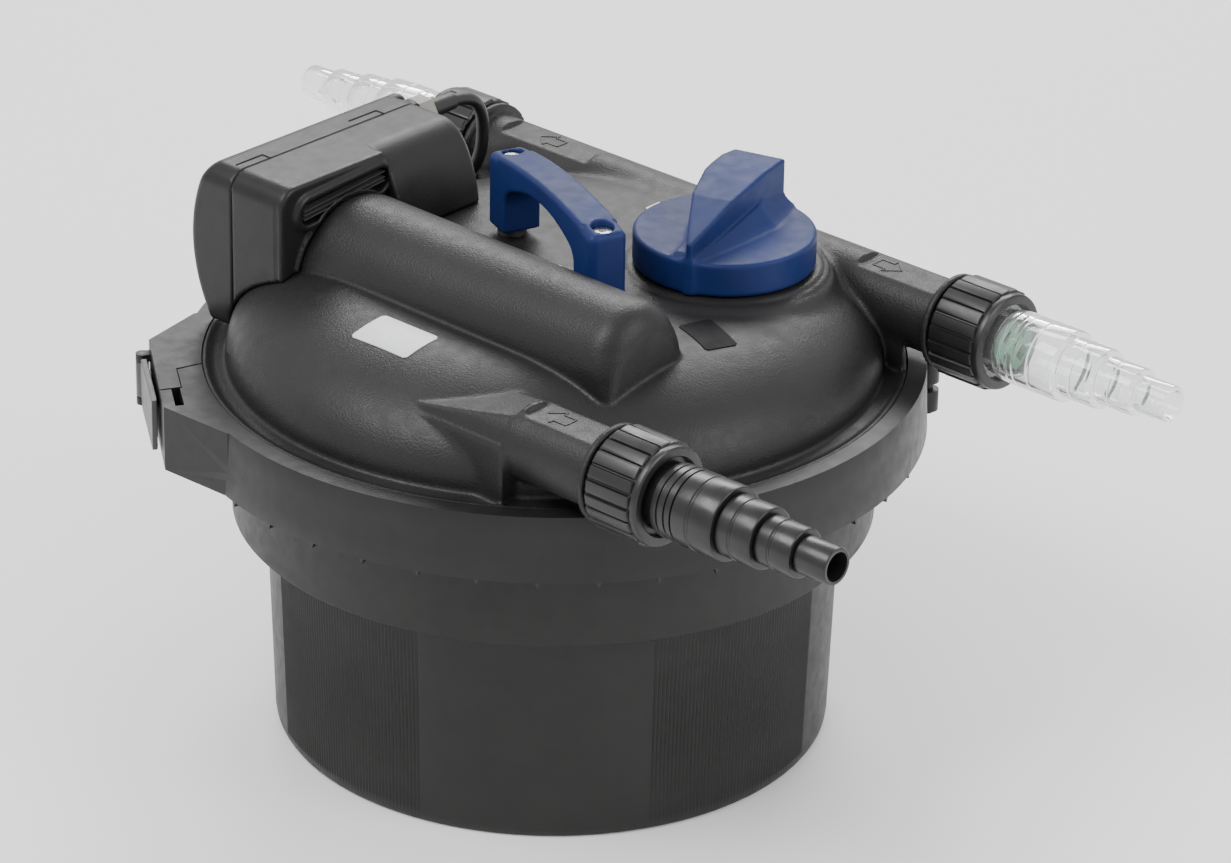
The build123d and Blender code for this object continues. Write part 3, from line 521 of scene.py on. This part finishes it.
def make_knob():
    low = (KNOB_X - 50, KNOB_Y - 50, 250)
    verts, faces = surface_nets(knob_field, low, (KNOB_X + 50, KNOB_Y + 50, 299), 1.0)
    finish_piece("mode_knob_shell", verts, faces, "knob", "navy_plastic", ("mode_knob",))


def handle_field(x, y, z):
    along = x * math.cos(ROD_TURN) + y * math.sin(ROD_TURN)
    across = y * math.cos(ROD_TURN) - x * math.sin(ROD_TURN)
    end = ROD_R + 8.5
    crown = 298 - 6 * (along / end) ** 2
    outer = np.maximum(z - crown, np.abs(along) - end)
    inner = 40.2
    gap_z = 287 - 11 * (along / inner) ** 2
    gap = smax(np.abs(along) - inner, z - gap_z, 7)
    side = smax(outer, -gap, 1)
    radius = np.where(np.abs(along) > 48, 4.5, 2.6)
    body = round_and(round_and(np.abs(along) - end, z - crown, 3), np.abs(across) - 10.5, radius)
    body = smax(body, -gap, 2.2)
    body = np.maximum(np.maximum(body, side), 254 - z)
    for place in (-ROD_R, ROD_R):
        sink = np.hypot(along - place, across)
        body = smax(body, -np.maximum(sink - 5.8, 288 - z), 0.5)
        body = np.maximum(body, -np.maximum(sink - 4, z - 268))
    return body


def make_handle():
    verts, faces = surface_nets(handle_field, (-64, -36, 252), (64, 36, 300), 1.0)
    finish_piece("lift_handle_shell", verts, faces, "handle", "navy_plastic", ("lift_handle",))


# Tank ------------------------------------------------------------------------------------------

def make_tank():
    """Turned tank with four panels of fine upright ribs between four plain ones."""
    ribs = 424
    around = ribs * 6
    angle = np.arange(around) * 2 * math.pi / around
    from_front = (np.degrees(angle) + 48.0 + 2.6 + 22.5) % 90
    ribbed = ((from_front > 46) & (from_front < 89)).astype(float)
    wave = 0.5 + 0.5 * np.cos(angle * ribs)
    profile = [(0.0, 0.0, 0), (141.5, 0.0, 0), (143.4, 0.8, 0), (144.6, 2.6, 0), (145.1, 6.0, 0),
               (145.2, 7.5, 1), (146.2, 40, 1), (147.4, 80, 1), (148.5, 113.5, 1), (148.6, 115, 0),
               (149.0, 120, 0), (165.0, 120.0, 0), (166.0, 121.0, 0), (166.0, 150, 0), (166.0, 175.2, 0),
               (166.8, 176, 0), (184.2, 176, 0), (185, 176.8, 0), (185, 183.2, 0), (184.2, 184, 0),
               (177.2, 184, 0), (177.2, 178, 0), (170.8, 178, 0), (170.8, 184, 0), (163, 184, 0),
               (163, 123.5, 0), (146, 123, 0), (142.3, 6, 0), (0.0, 4.0, 0)]
    verts, faces = [], []
    for radius, z, amount in profile:
        if radius == 0:
            verts.append(np.array([[0, 0, z]]))
            continue
        out = radius + amount * ribbed * (0.65 * wave - 0.45) - amount * (1 - ribbed) * 0.1
        verts.append(np.stack([out * np.cos(angle), out * np.sin(angle), np.full(around, z)], axis=1))
    starts = np.cumsum([0] + [len(v) for v in verts])
    for row in range(len(profile) - 1):
        a, b = starts[row], starts[row + 1]
        for i in range(around):
            j = (i + 1) % around
            if len(verts[row]) == 1:
                faces.append((a, b + j, b + i))
            elif len(verts[row + 1]) == 1:
                faces.append((a + i, a + j, b))
            else:
                faces.append((a + i, a + j, b + j, b + i))
    piece = finish_piece("tank_shell", np.concatenate(verts), faces, "vessel", "vessel_black", ("tank",))
    crisp(piece, 32)


def crisp(piece, degrees):
    """Sharp edges stay sharp under smooth shading."""
    piece.data.set_sharp_from_angle(angle=math.radians(degrees))


def turned_x(profile, side, face, axis_y, around=96):
    """Closed turning about an axis along X; the profile is (distance from face, radius)."""
    verts, faces = [], []
    turn = np.arange(around) * 2 * math.pi / around
    for along, radius in profile:
        ring = np.stack([np.full(around, side * (face + along)), axis_y + radius * np.cos(turn),
                         PIPE_Z + radius * np.sin(turn)], axis=1)
        verts.append(ring)
    count = len(profile)
    for row in range(count):
        a, b = row * around, (row + 1) % count * around
        for i in range(around):
            j = (i + 1) % around
            quad = (a + i, b + i, b + j, a + j)
            faces.append(quad if side > 0 else quad[::-1])
    return np.concatenate(verts), faces


def make_tail(name, body, side, face, axis_y, material, slot):
    """Stepped hose tail: each step swells to a soft barb and falls to the next."""
    outside = [(-7.3, 22.7), (-3.3, 22.7), (-3.2, 17.2), (2.6, 17.2), (3.2, 18.2), (3.8, 18.6),
               (7.0, 18.7), (7.3, 18.0), (8.1, 18.0), (8.4, 18.8), (11.6, 18.9), (11.9, 18.2),
               (12.7, 18.2), (13, 18.9), (15.8, 18.9)]
    start = 16.0
    for radius, end in ((19.0, 41.0), (15.8, 62.5), (12.6, 84.0), (9.6, 103.5)):
        length = end - start
        last = end > 100
        outside += [(start, radius - 0.9), (start + 0.9, radius - 0.1), (start + 2.2, radius),
                    (start + 0.36 * length, radius - 0.1)]
        if not last:
            outside += [(start + 0.39 * length, radius - 0.5), (start + 0.43 * length, radius - 0.5),
                        (start + 0.46 * length, radius - 0.1)]
        outside += [(end - 1.2, radius - 0.15), (end - 0.3, radius - 0.5), (end - 0.05, radius - 1.0)]
        start = end
    inside = [(103.3, 7.3), (102, 7.0), (84, 6.9), (80, 9.6), (62, 10.0), (58, 12.8), (41, 13.2),
              (37, 15.6), (16, 15.9), (12, 14.6), (-7.3, 14.0)]
    verts, faces = turned_x(outside + inside, side, face, axis_y)
    piece = finish_piece(name + "_shell", verts, faces, body, slot, (name,), material)
    crisp(piece, 24)


def make_nut(name, body, side, face, axis_y):
    """Union nut with broad grip bars between narrow grooves, and a plain front band."""
    bars = 22
    around = bars * 12
    turn = np.arange(around) * 2 * math.pi / around
    phase = (np.arange(around) % 12) / 12
    bar = np.where(phase < 0.8, 1.0 - 0.45 * phase, 0.0)
    profile = [(-32, 24.6, 0.2), (-31.4, 25.3, 1.0), (-30.5, 25.5, 1.7), (-6.0, 25.5, 1.7),
               (-4.6, 25.3, 1.5), (-4.2, 25.0, 0), (-3.8, 25.2, 0), (-1.6, 25.2, 0), (-0.7, 24.9, 0),
               (-0.1, 24.2, 0), (0, 23.9, 0), (0, 20.5, 0), (-0.5, 20.0, 0), (-3, 20.0, 0),
               (-3, 23.3, 0), (-32, 23.3, 0)]
    verts, faces = turned_x([(along, radius) for along, radius, _ in profile], side, face, axis_y, around)
    for row, (_, radius, amount) in enumerate(profile):
        ring = verts[row * around:(row + 1) * around]
        scale = (radius + amount * bar - 0.6 * amount * 0.5) / radius
        ring[:, 1] = axis_y + (ring[:, 1] - axis_y) * scale
        ring[:, 2] = PIPE_Z + (ring[:, 2] - PIPE_Z) * scale
    piece = finish_piece(name + "_shell", verts, faces, body, "ring_black", (name,), "nut_black")
    crisp(piece, 28)


def make_ring_teeth():
    """Small tapering teeth under the clamp ring's lower edge, on both halves."""
    count = 40
    high, low = Vector((0, 0, 169)), Vector((0, 0, 165.2))
    for body, start, stop in (("ring_front", 243, 408), ("ring_rear", 58, 223)):
        verts, faces = [], []
        for tooth in range(count):
            degrees = (4.5 + tooth * 360 / count) % 360
            if not (start < degrees < stop or start < degrees + 360 < stop):
                continue
            a = math.radians(degrees)
            out, aside = Vector((math.cos(a), math.sin(a), 0)), Vector((-math.sin(a), math.cos(a), 0))
            first = len(verts)
            for radius in (186.0, 190.6):
                middle = out * radius
                verts += [middle - aside * 1.5 + high, middle + aside * 1.5 + high, middle + low]
            faces += [tuple(first + i for i in face) for face in
                      ((0, 1, 2), (5, 4, 3), (0, 3, 4, 1), (1, 4, 5, 2), (2, 5, 3, 0))]
        finish_piece(body + "_teeth", verts, faces, body, "ring_black", (), "nut_black", smooth=False)


def make_flow_arrows():
    """Raised outline arrows on the flats of the pipes."""
    marks = []
    for x, y, way in ((118, OUTLET_Y, 1), (118, INLET_Y, -1), (-118, OUTLET_Y, -1)):
        z = PAD_Z
        tip, tail = x + way * 8, x - way * 8
        marks += [((tail, y - 4, z), (x, y - 4, z)), ((tail, y + 4, z), (x, y + 4, z)),
                  ((x, y - 7, z), (tip, y, z)), ((x, y + 7, z), (tip, y, z)),
                  ((tail, y - 4, z), (tail, y + 4, z)),
                  ((x, y - 7, z), (x, y - 4, z)), ((x, y + 7, z), (x, y + 4, z))]
    verts, faces = strip(marks, 0.7, 0.7)
    finish_piece("flow_arrows", verts, faces, "vessel", "lid_black", smooth=False)


# Cord ------------------------------------------------------------------------------------------

LEAD = [
    (-140, 69, 280.5), (-140, 78, 279.6), (-140, 86.5, 275.5), (-140.2, 92, 267.5), (-140.5, 93.5, 257),
    (-141.5, 93.3, 243.5), (-147.8, 92.5, 230), (-158.6, 91.5, 219.5), (-172.4, 90.2, 213.3),
    (-190, 89.2, 212.5), (-205, 88.8, 206), (-216, 89.2, 194.5), (-222, 90.7, 179), (-224.5, 95, 157),
    (-224.8, 102.5, 128), (-223, 111.5, 98), (-219.8, 122, 69), (-215.8, 134.5, 42), (-211.5, 149.5, 20.5),
    (-208, 166, 8), (-205.9, 182, 4), (-205, 195, 3.7), (-204.5, 205, 3.6)]


def coil_points():
    """Four layers of four turns, wound in and out in turn, clockwise from above."""
    points = []
    per_turn = 14
    for step in range(16 * per_turn + 5):
        turns = step / per_turn
        layer = min(int(turns / 4), 3)
        within = turns - 4 * layer
        travel = min(within, 3.0) * LEAD_D
        radius = 33.5 + travel if layer % 2 else 54.5 - travel
        climb = max(within - 3, 0) if layer < 3 else 0
        z = 3.6 + LEAD_D * layer + LEAD_D * math.sqrt(climb * (2 - climb))
        angle = math.radians(184) - 2 * math.pi * turns
        points.append((COIL_X + radius * math.cos(angle), COIL_Y + radius * math.sin(angle), z))
    return points


def make_cord():
    end = [(-136, 276.3, 23), (-121, 276.5, 19.5), (-105, 276.5, 18.5)]
    points = LEAD + coil_points() + end
    data = bpy.data.curves.new("mains_lead", "CURVE")
    data.dimensions = "3D"
    data.bevel_depth = LEAD_D / 2 * MM
    data.bevel_resolution = 5
    data.use_fill_caps = True
    spline = data.splines.new("NURBS")
    spline.points.add(len(points) - 1)
    for point, place in zip(spline.points, points):
        point.co = (*[c * MM for c in place], 1)
    spline.order_u = 3
    spline.use_endpoint_u = True
    spline.resolution_u = 4
    data.materials.append(mats["cable_black"])
    lead = bpy.data.objects.new("mains_lead", data)
    bpy.context.collection.objects.link(lead)
    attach(lead, "vessel")
    parts = [n for n in ("power_cable", "power_cable_coil", "power_cable_end") if n in nodes]
    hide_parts(*parts)


make_cord()


# CAD nodes that keep their shape -----------------------------------------------------------------

def dress_cad():
    slots = {s["node"]: s["material_slot"] for s in frame["record"]["subparts"]}
    special = {"blanking_plug": "head_black", "clamp_hinge_pin": "nut_black", "latch_pin": "nut_black"}
    for name, piece in nodes.items():
        material = mats[special.get(name, slots[name])]
        if not piece.material_slots:
            piece.data.materials.append(material)
        for held in piece.material_slots:
            held.material = material


def soften(name, width, segments=2, degrees=35):
    piece = nodes[name]
    weld = piece.modifiers.new("weld", "WELD")
    weld.merge_threshold = 0.00001
    bevel = piece.modifiers.new("bevel", "BEVEL")
    bevel.width = width * MM
    bevel.segments = segments
    bevel.limit_method = "ANGLE"
    bevel.angle_limit = math.radians(degrees)
    bevel.use_clamp_overlap = True


def squeeze_foams():
    """Gives each foam its own copy of its mesh data."""
    for index in range(1, 5):
        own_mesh(nodes[f"foam_{index}"])


# Surroundings ----------------------------------------------------------------------------------

def make_stage():
    mesh = bpy.data.meshes.new("floor")
    size = 12.0
    corners = [(-size, -size, 0), (size, -size, 0), (size, size, 0), (-size, size, 0)]
    mesh.from_pydata(corners, [], [(0, 1, 2, 3)])
    floor_material, tree, shader = new_material("floor_pale")
    coords = tree.nodes.new("ShaderNodeTexCoord").outputs["Object"]
    shader.inputs["Base Color"].default_value = (0.86, 0.86, 0.86, 1)
    tree.links.new(spread(tree, noise(tree, coords, 3, 2), 0.55, 0.7), shader.inputs["Roughness"])
    mesh.materials.append(floor_material)
    floor = bpy.data.objects.new("floor", mesh)
    bpy.context.collection.objects.link(floor)
    world = bpy.data.worlds.new("studio")
    world.use_nodes = True
    world.node_tree.nodes["Background"].inputs["Color"].default_value = (1, 1, 1, 1)
    world.node_tree.nodes["Background"].inputs["Strength"].default_value = 1.05
    bpy.context.scene.world = world


def make_light(name, place, size, power):
    data = bpy.data.lights.new(name, "AREA")
    data.shape = "RECTANGLE"
    data.size, data.size_y = size
    data.energy = power
    light = bpy.data.objects.new(name, data)
    place = Vector(place)
    turn = (Vector((0, 0, 0.15)) - place).to_track_quat("-Z", "Y").to_matrix().to_4x4()
    light.matrix_world = Matrix.Translation(place) @ turn
    bpy.context.collection.objects.link(light)


dress_cad()
squeeze_foams()
make_lid()
make_head()
make_knob()
make_handle()
make_tank()
make_tail("outlet_tail", "outlet_hose_tail", 1, OUTLET_X, OUTLET_Y, "clear_plastic", "clear_plastic")
make_tail("dirt_outlet_tail", "dirt_hose_tail", -1, OUTLET_X, OUTLET_Y, "clear_plastic", "clear_plastic")
make_tail("inlet_tail", "inlet_hose_tail", 1, INLET_X, INLET_Y, "tail_black", "tail_black")
soften("clamp_ring_front", 1.6)
soften("clamp_ring_rear", 1.6)
make_nut("outlet_nut", "outlet_union", 1, OUTLET_X, OUTLET_Y)
make_nut("dirt_outlet_nut", "dirt_union", -1, OUTLET_X, OUTLET_Y)
make_nut("inlet_nut", "inlet_union", 1, INLET_X, INLET_Y)
make_ring_teeth()
make_flow_arrows()
make_head_details()
make_plate("type_plate", -3.5, -113, 38, 24, 0, "plate_film")
make_plate("mode_plate_front", 107, -4.5, 28, 18, math.radians(-18), "plate_dark")
make_plate("mode_plate_rear", -6, 94, 26, 12, 0, "plate_film")
soften("latch_lever", 0.5)
make_stage()
make_light("key", (-0.6, -1.6, 2.4), (1.6, 1.2), 66)
make_light("rim", (-1.4, 1.9, 2.0), (2.0, 1.0), 62)
make_light("side", (2.2, 0.6, 1.5), (1.2, 1.6), 32)
